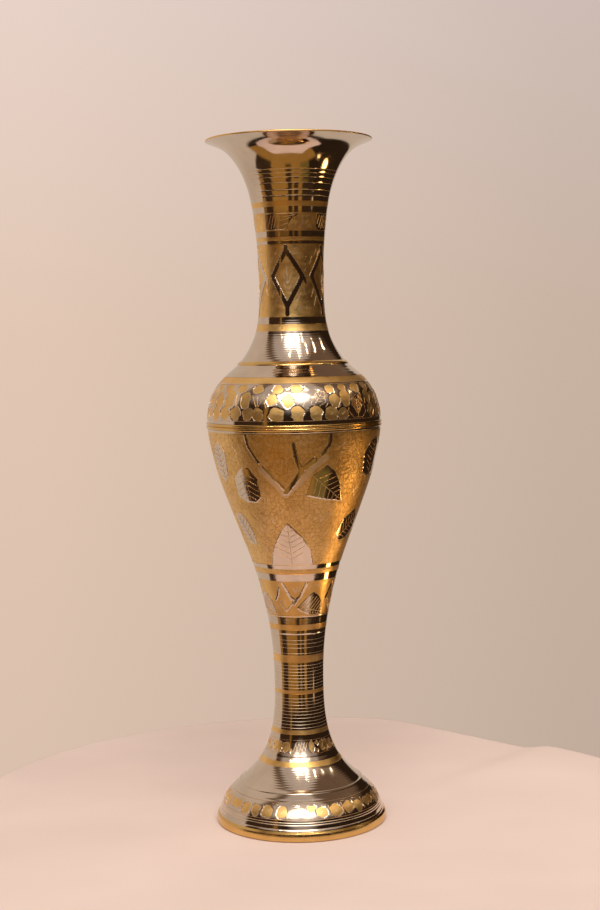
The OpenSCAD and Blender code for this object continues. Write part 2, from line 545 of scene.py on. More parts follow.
def scales(T, Z):
    """Rows of overlapping scales, each row lapping the one above. A scale rises from its middle
    to a soft edge."""
    pitch = 2 * math.pi / SCALE_COUNT
    level = rounded(Z) / pitch
    across = T / pitch
    rise = np.zeros(T.shape)
    taken = np.zeros(T.shape, bool)
    for row in (0, 1):
        j = np.floor(level / SCALE_ROW) - row
        aside = across - 0.5 * (j % 2)
        aside = (aside - np.round(aside)) / SCALE_HALF
        far = np.hypot(aside, (level - j * SCALE_ROW) / SCALE_LONG)
        here = (far < 1) & ~taken
        rise[here] = (np.minimum(1, (1 - far) / 0.2) * (0.45 + 0.55 * far))[here]
        taken |= here
    return SCALE_H * (rise - 0.6) + hammered(T, Z)


def leaf(T, Z, corners, stem, tip, count, reach, lean=0.55):
    """A leaf of plate with its veins cut through, and the same leaf whole."""
    whole = patch(T, Z, corners)
    veins = np.maximum(scribed(T, Z, *ribs(stem, tip, count, reach, lean)), whole + 0.5)
    return np.maximum(whole, -veins), whole


# How far strokes in the ground keep from the plate.
KEEP_OFF = 0.3


def cut_through(whole, veins, strokes):
    """A panel's three fields, from the plate's shape, the veins cut in it and the strokes."""
    return np.maximum(whole, -veins), whole, np.maximum(strokes, KEEP_OFF - whole)


def gathered(leaves, shapes, strokes):
    """A panel's three fields, from leaves with veins, plain plate shapes and strokes."""
    plate = union(*[cut for cut, _ in leaves], *shapes)
    whole = union(*[whole for _, whole in leaves], *shapes)
    return plate, whole, np.maximum(strokes, KEEP_OFF - whole)


# The bowl's leaves: corners, both ends of the midrib, pairs of side veins and how far they reach.
BOWL_LEAVES = [
    ((-69, 223, -62, 227, -55, 220, -57, 208, -63, 204, -70, 208, -72, 216),
     (-61, 203), (-64, 225), 6, 5),
    ((-41, 212, -34, 212.5, -28.5, 207, -28, 196, -33, 193, -42, 193, -50, 196, -49, 206),
     (-38, 212.5), (-38, 193), 5, 7),
    ((13, 208, 23, 214, 29, 210, 35, 202, 40, 193, 29, 194, 20, 195, 9, 197),
     (13, 208), (38.5, 193.5), 6, 10),
    ((63, 226, 73, 227, 80, 222, 82, 214, 75, 207, 65, 206, 58, 209, 56, 219),
     (68, 206), (69, 226), 6, 6),
    ((64, 186, 73, 182, 76, 176, 64, 170, 50, 169, 44, 173, 49, 181),
     (47, 170.5), (70, 182), 6, 5),
    ((-56, 185, -67, 184, -66, 175, -58, 168, -48, 167, -47, 173, -50, 180),
     (-50, 167.5), (-63, 184), 6, 5),
    ((-8, 180.5, -19, 171.5, -27, 163, -31, 155.6, 20, 155.6, 16, 163, 6, 172),
     (-5.5, 156), (-7.7, 179), 6, 9),
]


def bowl_pattern(T, Z):
    T = repeated(T, 2, -8)
    leaves = [leaf(T, Z, *shape) for shape in BOWL_LEAVES]
    branches = stems(
        T, Z, (1.2, -33, 231.5, -31.5, 225, -25, 216.5), (0.8, -22, 214, -14, 206.5, -6, 199),
        (1.5, -7, 198.5, -1, 204.5, 4.5, 211, 1.5, 217.5, -1, 226.5),
        (1.6, 6, 212.5, 13.5, 217.5), (1.2, 18.5, 220.5, 23.5, 226, 24, 231.5),
    )
    smooth = stems(
        T, Z, (1.5, -25, 212.5, -17, 205.5, -8, 197.5),
        (1.5, -6.5, 197.5, 4, 205, 13, 213, 22, 219),
    )
    strokes = scribed(
        T, Z, (-25, 226, -21, 228), (-20, 224, -20, 227.5), (-16, 225.5, -18.5, 228),
        (-9, 212.5, -8.6, 216.5), (-12.5, 216.5, -10, 218), (-5, 217.5, -7, 215),
        (-12, 211.5, -10, 213), (3, 228.5, 7.5, 225), (7, 229.5, 11, 226), (12, 229, 14, 226.5),
        (5, 222.5, 9, 221.5), (31, 224, 36, 227), (33, 221, 40, 222.5), (44, 226, 46, 221),
        (38, 216, 44, 217.5), (48, 214, 50, 209), (-46, 226, -42, 221), (-40, 227, -38, 222),
        (-50, 219, -45, 216.5), (10, 183, 13, 186), (16, 182, 20, 184), (22, 181, 27, 184),
        (28, 183, 33, 187), (-30, 182, -25, 185), (-22, 181, -19, 185), (-14, 186, -10, 189),
        (0, 186, 4, 189), (52, 196, 56, 200), (58, 192, 63, 195), (70, 197, 75, 193),
        (-60, 194, -55, 197), (-72, 192, -68, 196), (-80, 200, -78, 206), (-84, 214, -80, 219),
        (28, 172, 33, 176), (34, 164, 38, 169), (-38, 174, -34, 178), (-36, 163, -33, 167),
    )
    return gathered(leaves, [branches], np.minimum(strokes, smooth))


def taper_pattern(T, Z):
    T = repeated(T, 4, 5)
    corners = (0, 129, 14, 134, 26, 138, 36, 135.5, 42, 132.5, 47, 125.5, 20, 125.2, 8, 127)
    leaves = [leaf(T, Z, corners, (3, 130), (44, 126), 7, 8, 0.35)]
    branches = stems(
        T, Z, (0.95, -22, 144, -11, 135.8, -4, 133.6, 4, 135.8, 14, 144),
        (0.9, -38, 133.8, -33, 136.5, -29, 141), (0.45, -30, 133, -20, 127, -8, 132, -17, 138.4),
        (1.2, -6, 131.5, -3, 133),
    )
    strokes = scribed(
        T, Z, (-5, 141, -3, 138), (0, 142, -2, 138.6), (-9, 142, -5, 139.5), (5, 142, 1, 139),
        (-21, 134, -20, 130.5), (-36, 130, -31, 127), (30, 143, 38, 141), (18, 140, 22, 142.5),
    )
    return gathered(leaves, [branches], strokes)


def lattice_pattern(T, Z):
    T = repeated(T, 5, -8)
    whole = disc(T, Z, 43, 329, 5.9, 1.2)
    veins = scribed(
        T, Z, (32, 333, 37, 329), (38, 335, 41, 331), (45, 335.5, 45.5, 331),
        (52, 333, 50, 329.5), (33, 327, 39, 324), (41, 328, 46, 323.5), (50, 327, 52, 324.5),
        half=0.28,
    )
    branches = stems(
        T, Z, (1.45, -8, 335.2, 20, 320.6, -7.5, 303.6, -34, 320.8, -8, 335.2),
        (1.1, 20, 320.6, 35, 313, 43, 307, 42, 299.2), (1.3, -9, 337.6, -8, 335),
        (1.3, -7.5, 303.6, -7.5, 299),
    )
    strokes = scribed(
        T, Z, (-8, 326.5, -6.5, 316.5), (-15, 322.5, -8, 317), (1, 322.5, -5, 317),
        (-13, 317.5, -8.5, 312.5), (0, 316.5, -4.5, 312.5), (-28, 333.5, -22, 336.5),
        (-21, 332.5, -17, 335), (4, 333.6, 19, 333.6), (5, 336.5, 12, 337), (-30, 304, -22, 311),
        (-35, 309, -30, 313.5), (9, 306, 17, 311.5), (10, 301.5, 16, 303.5), (26, 303, 33, 307),
        (24, 324, 29, 327), (29, 321.5, 35, 323), (-38, 328, -33, 332), (21, 314.5, 27, 310),
    )
    return gathered([(np.maximum(whole, -veins), whole)], [branches], strokes)


def leaf_band_pattern(T, Z):
    T = repeated(T, 4, 0)
    corners = (-43, 356.2, 16, 355.8, 1, 352.6, -4, 349.5, -3.4, 347.2, -43.5, 347.2)
    whole = patch(T, Z, corners, 0.2)
    veins = scribed(
        T, Z, (-15, 349.4, -3, 351), (-16, 352.4, 1, 353.8), (-11, 354.4, 8, 355.4),
        (-12, 347.6, -5.5, 348.4), (-31, 355.2, -37.5, 348.5), (-26, 355.4, -32, 348),
        (-21, 355.2, -27, 348.4), (-38, 355.4, -42, 350.5), (-21, 348.2, -16, 355),
    )
    veins = np.maximum(veins, whole + 0.3)
    strokes = scribed(
        T, Z, (19, 354.8, 21, 349.6), (25, 354.4, 34, 355.2), (29, 348, 33, 350, 37, 348),
        (25, 350.6, 30, 352.8), (10, 351.5, 7, 348.6), (38, 354.4, 41, 351.2), (14, 348, 18, 350),
    )
    return gathered([(np.maximum(whole, -veins), whole)], [], strokes)


def dots(T, Z, cells, least, a0, h0, a1, h1):
    """A short stroke in each cell wider than least, from (a0, h0) to (a1, h1) off its middle."""
    paths = [(a + a0, h + h0, a + a1, h + h1) for a, h, r, _ in cells if r > least]
    return scribed(T, Z, *paths, half=FINE_VEIN)


# The shoulder's gold cells: angle, height, radius and how tall each is for its width.
SHOULDER_CELLS = [
    (-31, 243.4, 2.9, 1.1), (-23.5, 243.4, 2.9, 1.1), (-11, 243.2, 3.9, 0.85),
    (2.5, 243.6, 3.3, 1.1), (14.5, 243.5, 3.3, 1.05), (25, 243.2, 3.6, 0.95),
    (33.5, 242.9, 3.2, 0.95), (61, 244, 3.2, 1.1), (70, 243.6, 3.4, 1), (79, 244, 3.2, 1.1),
    (-41, 243.6, 3.2, 1.1), (-51, 244, 3.5, 1), (-62, 243.6, 3.4, 1.1), (-72, 244, 3.2, 1),
    (-81, 243.4, 3, 1.1), (-34, 251.2, 2.9, 1.35), (-14.5, 251.8, 2.7, 1.1),
    (-3.5, 250.8, 2.5, 1.5), (28.5, 250.2, 3.1, 1.1), (37, 251.6, 2.7, 1.6), (-48, 252, 3.4, 1.3),
    (-60, 251, 3.6, 1.1), (-72, 251.6, 3, 1.3), (-82, 251, 2.7, 1.2), (60, 251.6, 2.8, 1.2),
    (70, 250.8, 3, 1.2), (79, 251.6, 2.6, 1.3), (-10.5, 257, 2.8, 0.8), (2.5, 257.4, 2.9, 0.7),
    (26, 256.8, 2.5, 0.8), (36.5, 257.4, 2.4, 0.8), (49, 257, 3.2, 0.8), (62, 257.4, 2.9, 0.8),
    (75, 257.2, 3.1, 0.8), (-25, 257.2, 2.6, 0.8), (-39, 257.6, 2.7, 0.8), (-53, 257.6, 3, 0.8),
    (-67, 257.4, 3.1, 0.8), (-80, 257.4, 2.6, 0.8),
]


def shoulder_pattern(T, Z):
    T = repeated(T, 2, 0)
    cells = union(*[disc(*uneven(T, Z), *cell) for cell in SHOULDER_CELLS]) - 0.45
    corners = (38.5, 244.5, 40, 249, 47, 252.5, 52.5, 248.5, 53.5, 243.5, 50, 240.9, 42, 240.9)
    blade = patch(T, Z, corners)
    small = patch(T, Z, (12, 249, 16, 254.6, 21, 255.4, 21, 250, 17, 248))
    veins = union(
        np.abs(blade) - 0.24, np.abs(small) - 0.24,
        scribed(T, Z, *ribs((46, 241.2), (46.5, 251.5), 5, 5, 1.4)),
        scribed(T, Z, *ribs((14.5, 249.3), (19.5, 254.6), 3, 2.4)),
        scribed(
            T, Z, (-28.5, 254, -25, 247.5), (-20, 254.5, -23.5, 247.5),
            (-24.5, 253.5, -24.3, 247.6), (-18, 247, -19.5, 250.5), (6, 247.5, 9, 253),
            (3, 254.5, 8, 256.5), (8.5, 247, 11, 246), (-8.5, 254.2, -5.5, 256),
            (21, 246.8, 23, 249), (20.5, 252, 23, 253.8), (31, 246.4, 33, 248),
            (43, 254.5, 46, 255.6), (55, 248, 57, 255), (56, 243, 57.5, 246),
            (65, 247, 65.5, 254), (74.5, 247, 75, 254), (-54, 247.8, -56, 255),
            (-66, 247, -66.5, 255), (-77, 247.5, -77, 254), (-41, 247.5, -42, 254.5),
            (85, 242, 84.5, 255),
        ),
    )
    whole = -cells
    veins = np.maximum(veins, whole + 0.45)
    marks = dots(T, Z, SHOULDER_CELLS, 2.85, -1.1, -0.8, 1.0, 0.9)
    return cut_through(whole, veins, marks)


ANKLE_CELLS = [
    (-26.5, 46.7, 2.6, 1.0), (20.5, 46.6, 1.5, 2.1), (42, 46.8, 2.3, 1.2), (-40, 46.5, 1.6, 1.9),
    (30.5, 44.6, 0.9, 1), (-33, 44.4, 0.7, 1), (31, 48.4, 0.9, 1), (-15.5, 44.6, 0.7, 1),
]


def ankle_pattern(T, Z):
    T = repeated(T, 4, 1)
    whole = 0.15 - union(*[disc(*uneven(T, Z), *cell) for cell in ANKLE_CELLS])
    hatch = [(a, 44.6, a + 5, 49.4) for a in (-12, -7, -2, 3, 8)]
    hatch += [(a + 3, 45, a - 1, 48.8) for a in (-8, -1, 6)]
    veins = np.maximum(scribed(T, Z, *hatch, half=FINE_VEIN), whole + 0.35)
    strokes = scribed(
        T, Z, (-29, 45.6, -24, 47.8), (41, 45.6, 44, 47.8), (20.4, 44.6, 20.6, 48),
        half=FINE_VEIN,
    )
    return cut_through(whole, veins, strokes)


# The shell on the foot: how many rays it has, its outer edge and where the rays start and end.
SHELL_RAYS = 5
SHELL_R, SHELL_IN, SHELL_OUT = 5.9, 2.4, 5.2
FOOT_CELLS = [
    (-56, 15.9, 2.1, 1.1), (-46.5, 15.3, 2.9, 1.1), (-36.5, 15.4, 2.7, 1.15),
    (-26, 15.3, 3.3, 1.0), (-14.5, 15.5, 3.0, 1.05), (7.5, 17.3, 2.4, 0.8),
    (15.5, 15.3, 2.9, 1.05), (27, 15.4, 3.5, 1.0), (38, 15.9, 3.1, 1.0), (47.5, 15.2, 2.9, 1.1),
    (58, 15.8, 2.4, 1.1),
]


def foot_pattern(T, Z):
    T = repeated(T, 3, 1)
    whole = 0.3 - union(*[disc(*uneven(T, Z), *cell) for cell in FOOT_CELLS])
    u, v = near(T, Z, -1, 12.4)
    reach, turn = np.hypot(u * 0.82, v), np.arctan2(u * 0.82, np.maximum(v, 0.01))
    scallop = SHELL_R + 0.5 * np.abs(np.cos(turn * SHELL_RAYS))
    rim = np.maximum(np.abs(reach - scallop) - 0.34, -v)
    rays = np.abs(np.sin(turn * SHELL_RAYS)) * reach / SHELL_RAYS - 0.36
    rays = np.maximum(rays, np.maximum(reach - SHELL_OUT, SHELL_IN - reach))
    curls = scribed(
        T, Z, (-20.5, 18.6, -18, 19), (-31, 18.4, -29, 12.8), (-41.5, 18, -42, 12.8),
        (-51.5, 18.2, -52, 13), (21, 18.4, 22.5, 12.8), (32.5, 18.6, 33, 12.6),
        (43, 18.8, 43.5, 13), (53, 18.6, 53, 13), (33, 19.2, 38, 19.4), (44, 19.4, 49, 18.8),
        (-24, 19.3, -17, 19.4), (10, 12.8, 12.5, 13.4), half=0.22,
    )
    veins = np.maximum(union(rim, np.maximum(rays, -v), curls), whole + 0.4)
    marks = dots(T, Z, FOOT_CELLS, 2.6, -1.4, -0.8, 1.2, 0.8)
    return cut_through(whole, veins, marks)


# ---------------- materials

def node_tree(name):
    mat = bpy.data.materials.new(name)
    mat.use_nodes = True
    tree = mat.node_tree
    return mat, tree, tree.nodes["Principled BSDF"]


def feed(node, inputs):
    """Sets a node's inputs by name or number, each to a value or another node's output."""
    for key, value in inputs.items():
        if isinstance(value, bpy.types.NodeSocket):
            node.id_data.links.new(value, node.inputs[key])
        else:
            node.inputs[key].default_value = value


def add_node(tree, kind, inputs, **settings):
    node = tree.nodes.new("ShaderNode" + kind)
    for key, value in settings.items():
        setattr(node, key, value)
    feed(node, inputs)
    return node


def streaks(tree, scale, detail=2.0, rough=0.5):
    """Noise in object space, stretched by scale."""
    place = add_node(tree, "TexCoord", {}).outputs["Object"]
    place = add_node(tree, "Mapping", {"Vector": place, "Scale": scale}).outputs["Vector"]
    inputs = {"Vector": place, "Scale": 1.0, "Detail": detail, "Roughness": rough}
    return add_node(tree, "TexNoise", inputs).outputs["Fac"]


def ramp(tree, value, stops):
    node = add_node(tree, "ValToRGB", {"Fac": value})
    points = node.color_ramp.elements
    while len(points) < len(stops):
        points.new(0.5)
    for point, (at, colour) in zip(points, stops):
        point.position = at
        point.color = (*colour, 1)
    return node.outputs["Color"]


def spread(tree, value, low, high, start=0.3, end=0.7):
    """A value between start and end carried over to between low and high."""
    inputs = {"From Min": start, "From Max": end, "To Min": low, "To Max": high, "Value": value}
    return add_node(tree, "MapRange", inputs).outputs["Result"]


def blend(tree, factor, a, b, how="MIX"):
    """Colour a mixed with colour b. The factor and colours are values or other nodes' outputs."""
    a, b = ((*colour, 1) if isinstance(colour, tuple) else colour for colour in (a, b))
    inputs = {0: factor, 6: a, 7: b}
    return add_node(tree, "Mix", inputs, data_type="RGBA", blend_type=how).outputs[2]


def bump(tree, shader, value, strength, distance, below=None):
    inputs = {"Strength": strength, "Distance": distance, "Height": value}
    if below is not None:
        inputs["Normal"] = below
    normal = add_node(tree, "Bump", inputs).outputs["Normal"]
    feed(shader, {"Normal": normal})
    return normal


def metal(name, low, high, rough, lathe, grain):
    """A metal: patches between two tones, a range of roughness, lathe marks and fine grain."""
    mat, tree, shader = node_tree(name)
    tones = ramp(tree, streaks(tree, (70, 70, 60), 3.0), [(0.3, low), (0.7, high)])
    wear = spread(tree, streaks(tree, (160, 160, 420), 3.0, 0.6), *rough)
    feed(shader, {"Metallic": 1.0, "Base Color": tones, "Roughness": wear})
    marks = streaks(tree, (14, 14, 1900), 2.0, 0.7)
    first = bump(tree, shader, marks, lathe, 0.00004)
    dust = streaks(tree, (2600, 2600, 2600), 2.0, 0.6)
    bump(tree, shader, dust, grain, 0.00004, first)
    return mat


def scaled_metal():
    """The bowl's cut ground, with a faint network of scales over it."""
    mat = metal("scaled_brass", (0.76, 0.48, 0.17), (0.97, 0.67, 0.29), (0.33, 0.5), 0.3, 0.5)
    tree = mat.node_tree
    shader = tree.nodes["Principled BSDF"]
    below, colour = (shader.inputs[k].links[0].from_socket for k in ("Normal", "Base Color"))
    place = add_node(tree, "TexCoord", {}).outputs["Object"]
    inputs = {"Vector": place, "Scale": 360, "Randomness": 0.7}
    cells = add_node(tree, "TexVoronoi", inputs, feature="DISTANCE_TO_EDGE")
    cracks = spread(tree, cells.outputs["Distance"], 0, 1, 0.0, 0.11)
    bump(tree, shader, cracks, 0.4, 0.00014, below)
    worn = ramp(tree, cracks, [(0.0, (0.76, 0.66, 0.60)), (0.8, (1, 1, 1))])
    feed(shader, {"Base Color": blend(tree, 1, colour, worn, "MULTIPLY")})
    return mat


tin = metal("tin_plate", (0.64, 0.53, 0.43), (0.75, 0.63, 0.51), (0.05, 0.13), 0.2, 0.03)
scaled = scaled_metal()
engraved = metal("engraved_brass", (0.80, 0.48, 0.16), (0.97, 0.64, 0.25), (0.3, 0.46), 0.3, 0.35)
scribe = metal("scribed_lines", (0.84, 0.63, 0.42), (0.94, 0.75, 0.54), (0.36, 0.5), 0.1, 0.2)
bare = metal("bare_brass", (0.70, 0.44, 0.14), (0.78, 0.52, 0.19), (0.14, 0.26), 0.15, 0.03)
inside = metal("inside_brass", (0.40, 0.30, 0.16), (0.58, 0.46, 0.28), (0.35, 0.6), 0.6, 0.2)
solder = metal("soft_solder", (0.50, 0.50, 0.48), (0.64, 0.64, 0.62), (0.35, 0.6), 0.2, 0.4)


# ---------------- the sections

def placed(name, data):
    """A new object in the scene."""
    ob = bpy.data.objects.new(name, data)
    bpy.context.scene.collection.objects.link(ob)
    return ob


def piece(name, data, materials, node):
    """A piece of the vase, in place of a CAD part."""
    for mat in materials:
        data.materials.append(mat)
    ob = placed(name, data)
    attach(ob, "root")
    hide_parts(node)
    return ob


def inner_skin(skin, z0, z1, with_spigot, with_socket):
    """The inner wall from the top seam down, with the socket at the top and the spigot below."""
    low, high = z0, z1
    if with_socket:
        r, floor = socket_r(z1), z1 - SPIGOT_DEPTH
        skin.ring(r, z1, INSIDE)
        skin.ring(r, floor, INSIDE)
        if inner_r(floor) > r:
            skin.ring(r + SOCKET_WALL, floor, INSIDE)
            meets = [z for z in np.linspace(floor, z1, 60) if inner_r(z) > r + SOCKET_WALL]
            high = meets[-1]
        else:
            high = floor
    if with_spigot:
        low = z0 + WEB_H
    for z in samples(low, high, INNER_STEP)[::-1]:
        skin.ring(inner_r(z), z, INSIDE)
    if with_spigot:
        out = socket_r(z0) - SOLDER_GAP
        skin.ring(out - SPIGOT_WALL, low, INSIDE)
        skin.ring(out - SPIGOT_WALL, z0 - SPIGOT_DEPTH, INSIDE)
        skin.ring(out, z0 - SPIGOT_DEPTH, INSIDE)
        skin.ring(out, z0, INSIDE)
    skin.close(INSIDE)


def section(node, columns, z0, z1, outer, with_spigot=True, with_socket=True):
    skin = Skin(columns)
    outer(skin)
    inner_skin(skin, z0, z1, with_spigot, with_socket)
    ground = scaled if node == "bowl" else engraved
    return piece(node + "_turned", skin.mesh(node), [tin, ground, inside, scribe], node)


def lines(start, step, count, make=line):
    return [make(start + step * k) for k in range(count)]


def foot_outer(skin):
    turned(skin, BASE_H, 11.6, line(6.7, 0.4, 0.12, PLATE), line(9.2), line(10.4))
    carve(skin, 11.6, 20.2, 0.46, foot_pattern, hammered)
    marks = lines(25.8, 1.1, 9, fine)
    step = line(20.9, 0.5, 0.08, PLATE)
    turned(skin, 20.2, 42.9, step, bead(24.2), *marks, band(36, 38.9), fine(41))
    carve(skin, 42.9, 50.7, 0.36, ankle_pattern, hammered)
    turned(skin, 50.7, FOOT_TOP)


def stem_outer(skin):
    turned(
        skin, FOOT_TOP, STEM_TOP, band(53.6, 56.2), *lines(57.4, 1.9, 10, thin), band(77.2, 79.3),
        *lines(80.8, 1.9, 8, thin), open_band(95.9, STEM_TOP)
    )


def taper_outer(skin):
    turned(
        skin, STEM_TOP, 124.1, open_band(STEM_TOP, 100.3), thin(101.4), thin(104.8), thin(107.2),
        thin(109.4), line(112.7, 0.12, 0.02), band(115.4, 118.7), line(123.4, 0.3)
    )
    carve(skin, 124.1, 145.3, 0.4, taper_pattern, hammered)
    turned(skin, 145.3, TAPER_TOP, open_band(149.5, TAPER_TOP))


def bowl_outer(skin):
    turned(skin, TAPER_TOP, 155, open_band(TAPER_TOP, 152.6))
    carve(skin, 155, 232.2, 0.54, bowl_pattern, scales)
    turned(skin, 232.2, RING_Z0, line(232.7, 0.4, 0.08, BRIGHT))
    skin.ring(BELLY_R - RING_SEAT, RING_Z0, INSIDE)
    skin.ring(BELLY_R - RING_SEAT, BOWL_TOP, INSIDE)


def shoulder_outer(skin):
    skin.ring(BELLY_R - RING_SEAT, BOWL_TOP, INSIDE)
    skin.ring(BELLY_R - RING_SEAT, RING_Z1, INSIDE)
    turned(skin, RING_Z1, 239.4)
    carve(skin, 239.4, 259.7, 0.5, shoulder_pattern, hammered)
    turned(skin, 259.7, SHOULDER_TOP, band(260.3, 263.6), fine(265), fine(266.6), fine(268.1))


def neck_outer(skin):
    marks = lines(273.6, 1.3, 12, lambda z: line(z, 0.4, 0.035, PLATE))
    turned(skin, SHOULDER_TOP, 297.5, *marks, band(289.5, 293.5), fine(294.6), fine(295.8))
    carve(skin, 297.5, 339.1, 0.4, lattice_pattern, hammered)
    turned(skin, 339.1, 346.5, band(340.9, 343.1))
    carve(skin, 346.5, 356.8, 0.36, leaf_band_pattern, hammered)
    turned(skin, 356.8, NECK_TOP, open_band(360.2, NECK_TOP))


def mouth_outer(skin):
    """The trumpet's outside, its rounded lip and the inside of the flare down to the neck."""
    hairlines = [line(z) for z in (366.2, 369.3, 373.2, 376.2, 378.5, 380.6)]
    turned(skin, NECK_TOP, LIP_Z, open_band(NECK_TOP, 363.2), *hairlines)
    inner = OUTLINE[-1] + INWARD[-1] * LIP_WALL
    middle = (OUTLINE[-1] + inner) / 2
    for turn in np.linspace(20, 160, 8):
        a = math.radians(turn)
        out = TANGENT[-1] * math.sin(a) * LIP_ROUND - INWARD[-1] * math.cos(a) * LIP_WALL / 2
        skin.ring(middle[0] + out[0], middle[1] + out[1] - LIP_SINK, GOLD)
    for r, z in INLINE[:-FINE:-FLARE_STEP]:
        skin.ring(r, z, INSIDE)


def heights(node):
    """A CAD part's bottom and top, in millimetres."""
    return [round(corner[2] / MM, 2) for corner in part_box(node)]


RING_Z0, RING_Z1 = heights("belly_ring")
COLLAR_Z0, COLLAR_Z1 = heights("neck_collar")

section("foot", 576, BASE_H, FOOT_TOP, foot_outer, with_spigot=False)
section("stem", 192, FOOT_TOP, STEM_TOP, stem_outer)
section("taper", 336, STEM_TOP, TAPER_TOP, taper_outer)
section("bowl", 600, TAPER_TOP, BOWL_TOP, bowl_outer)
section("shoulder", 640, BOWL_TOP, SHOULDER_TOP, shoulder_outer)
section("neck", 360, SHOULDER_TOP, NECK_TOP, neck_outer)
section("mouth", 288, NECK_TOP, INLINE[-FINE][1], mouth_outer, with_socket=False)


def lathe_piece(node, columns, path, mat):
    """A plain ring turned from a closed path of radius and height."""
    skin = Skin(columns)
    for r, z in path:
        skin.ring(r, z, 0)
    skin.close(0)
    return piece(node + "_turned", skin.mesh(node), [mat], node)


def arc(centre, radius, start, end, count=9):
    """Points on an arc in the radius and height plane, from start to end degrees."""
    turns = np.radians(np.linspace(start, end, count))
    return [(centre[0] + radius * math.cos(a), centre[1] + radius * math.sin(a)) for a in turns]


def base_ring_path():
    """A heavy ring with a rounded foot, and an upstand inside the foot's bell."""
    top = BASE_H + 4.5
    upstand_r = inner_r(top) - SOLDER_GAP
    edge = outer_r(BASE_H)
    return (
        [(43, 0), (46, 0), (BASE_R - 0.8, 0)]
        + arc((BASE_R - 0.8, 0.8), 0.8, -75, 0)
        + [(BASE_R, 2), (BASE_R - 0.1, 3.4), (BASE_R - 0.4, 4.4), (edge + 0.4, 5.1)]
        + [(edge, BASE_H), (upstand_r, BASE_H), (upstand_r, top), (upstand_r - WALL, top)]
        + [(43, 3)]
    )


def belly_ring_path():
    """Two half-round ridges side by side."""
    middle = (RING_Z0 + RING_Z1) / 2
    radius = (RING_Z1 - RING_Z0) / 4
    centre = BELLY_R + RING_PROUD - radius
    seat = BELLY_R - RING_SEAT
    low = arc((centre, middle - radius), radius, -75, 75, 11)
    high = arc((centre, middle + radius), radius, -75, 75, 11)
    slope = 0.02
    start = [(seat, RING_Z0), (centre, RING_Z0 + slope)]
    return start + low + high + [(centre, RING_Z1 - slope), (seat, RING_Z1)]


def collar_path():
    """A half-round ring that sits on the slope at the root of the neck."""
    low = COLLAR_Z0 + 0.5
    steps = np.linspace(low, COLLAR_Z1, 13)
    inner = [(outer_r(z), z) for z in steps[::-1]]
    swell = np.sin(math.pi * (steps - low) / (COLLAR_Z1 - low)) ** 0.7
    outer = [(outer_r(z) + 0.02 + 0.62 * s, z) for z, s in zip(steps[1:-1], swell[1:-1])]
    return outer + inner


def disc_path():
    """A disc with small bevels, all but closed at its middle."""
    low, high = heights("floor_disc")
    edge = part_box("floor_disc")[1][0] / MM
    bevel = 0.3
    rim = [(edge - bevel, low), (edge, low + bevel), (edge, high - bevel), (edge - bevel, high)]
    return [(0.02, low)] + rim + [(0.02, high)]


lathe_piece("base_ring", 288, base_ring_path(), bare)
lathe_piece("belly_ring", 288, belly_ring_path(), bare)
lathe_piece("neck_collar", 288, collar_path(), bare)
lathe_piece("floor_disc", 96, disc_path(), inside)
for ob_slot in frame["nodes"]["solder_fillets"].material_slots:
    ob_slot.material = solder


# ---------------- stage, light and camera

def cloth_material():
    mat, tree, shader = node_tree("cloth")
    weave = streaks(tree, (1500, 1500, 1500), 2.0)
    folds = streaks(tree, (7, 11, 9), 2.0)
    dye = ramp(tree, folds, [(0.3, (0.78, 0.625, 0.58)), (0.7, (0.84, 0.68, 0.63))])
    feed(shader, {"Base Color": dye, "Roughness": 0.9})
    soft = bump(tree, shader, folds, 0.25, 0.01)
    bump(tree, shader, weave, 0.3, 0.0002, soft)
    return mat


TABLE_X, TABLE_Y = 0.004, 0.03
TABLE_R, TABLE_FRONT = 0.213, 0.222
# The far right of the table is cut off along a diagonal and the near right narrows, both softly.
TABLE_CUT, TABLE_SOFT = 0.266, 0.008
TABLE_RIGHT, TABLE_SPLAY = 0.21, 0.32
# A fold in the cloth, behind the vase to its right: its line in metres, its height and half
# width, and how far the cloth takes to settle again beyond it.
FOLD_START, FOLD_END = Vector((0.06, 0.035)), Vector((0.166, 0.142))
FOLD_H, FOLD_W, FOLD_SETTLES = 0.005, 0.014, 0.2


def folded(x, y):
    """Height of the cloth at a place on the table."""
    along = FOLD_END - FOLD_START
    offset = Vector((x, y)) - FOLD_START
    fade = max(0, min(1, 0.25 + offset.dot(along) / along.length_squared))
    past = -along.cross(offset) / along.length
    rise = max(0, min(1, 0.5 + past / FOLD_W / 2))
    settle = math.exp(-((max(past, 0) / FOLD_SETTLES) ** 2))
    return -0.0002 + FOLD_H * fade * settle * rise * rise * (3 - 2 * rise)


def table_edge():
    """The table's outline: a circle, squarer in front and trimmed to the right."""
    outline = []
    for turn in np.linspace(0, 2 * math.pi, 240, endpoint=False):
        x, y = math.cos(turn), math.sin(turn)
        power = 2 if y > 0 else 3.4
        reach = (abs(x) ** power + abs(y) ** power) ** (-1 / power)
        y *= reach * (TABLE_R if y > 0 else TABLE_FRONT)
        edges = np.array([x * reach * TABLE_R, TABLE_CUT - y, TABLE_RIGHT + TABLE_SPLAY * y])
        outline.append((-np.log(np.exp(-edges / TABLE_SOFT).sum()) * TABLE_SOFT, y))
    return outline


